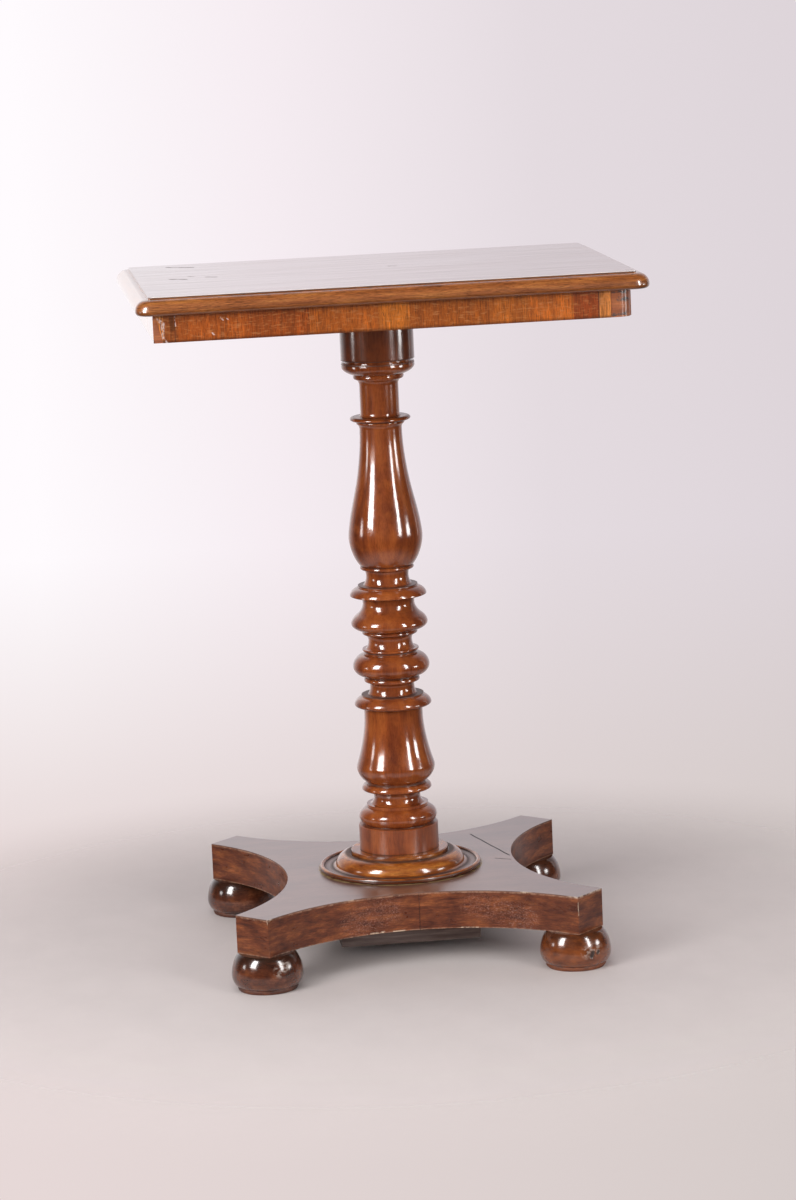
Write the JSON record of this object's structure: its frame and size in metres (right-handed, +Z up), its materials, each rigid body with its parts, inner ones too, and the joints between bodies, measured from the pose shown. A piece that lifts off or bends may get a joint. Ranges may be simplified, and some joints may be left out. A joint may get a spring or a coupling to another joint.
{
  "type": "pedestal table",
  "caption": "Rectangular wooden pedestal table: moulded top on a banded apron, turned column, moulded base ring, concave-sided platform and bun feet.",
  "frame": {"origin": "on the floor, under the middle of the column", "axes": "+Z up along the column, +X along the long side of the top, front of the table towards -Y"},
  "size_m": [0.52, 0.396, 0.72],
  "materials": {
    "mahogany": "french polished, worn",
    "dark_mahogany": "french polished, worn",
    "banding_veneer": "polished upright veneer",
    "flat_veneer": "polished veneer, faded",
    "softwood": "unfinished, aged",
    "pale_hardwood": "unfinished",
    "screw_steel": "darkened iron"
  },
  "bodies": {
    "root": {"apron_band_back": "banding_veneer", "apron_band_front": "banding_veneer", "apron_band_left": "banding_veneer", "apron_band_patch": "banding_veneer", "apron_band_right": "banding_veneer", "apron_rail_back": "softwood", "apron_rail_front": "softwood", "apron_rail_left": "softwood", "apron_rail_right": "softwood", "base_ring": "mahogany", "bearer_screws": "screw_steel", "collar": "mahogany", "column_drum": "mahogany", "column_lower": "mahogany", "column_upper": "mahogany", "foot_back_left": "dark_mahogany", "foot_back_right": "dark_mahogany", "foot_front_left": "dark_mahogany", "foot_front_right": "dark_mahogany", "glue_blocks": "softwood", "platform_core_back": "softwood", "platform_core_front": "softwood", "platform_end_facings": "flat_veneer", "platform_facing_back": "flat_veneer", "platform_facing_front": "flat_veneer", "platform_facing_left": "flat_veneer", "platform_facing_right": "flat_veneer", "platform_top_veneer": "flat_veneer", "tenon_wedge_bottom": "pale_hardwood", "tenon_wedge_top": "pale_hardwood", "top_bearer": "softwood", "top_board": "mahogany", "top_field_veneer": "flat_veneer", "under_block": "softwood", "under_block_screws": "screw_steel"}
  },
  "joints": []
}
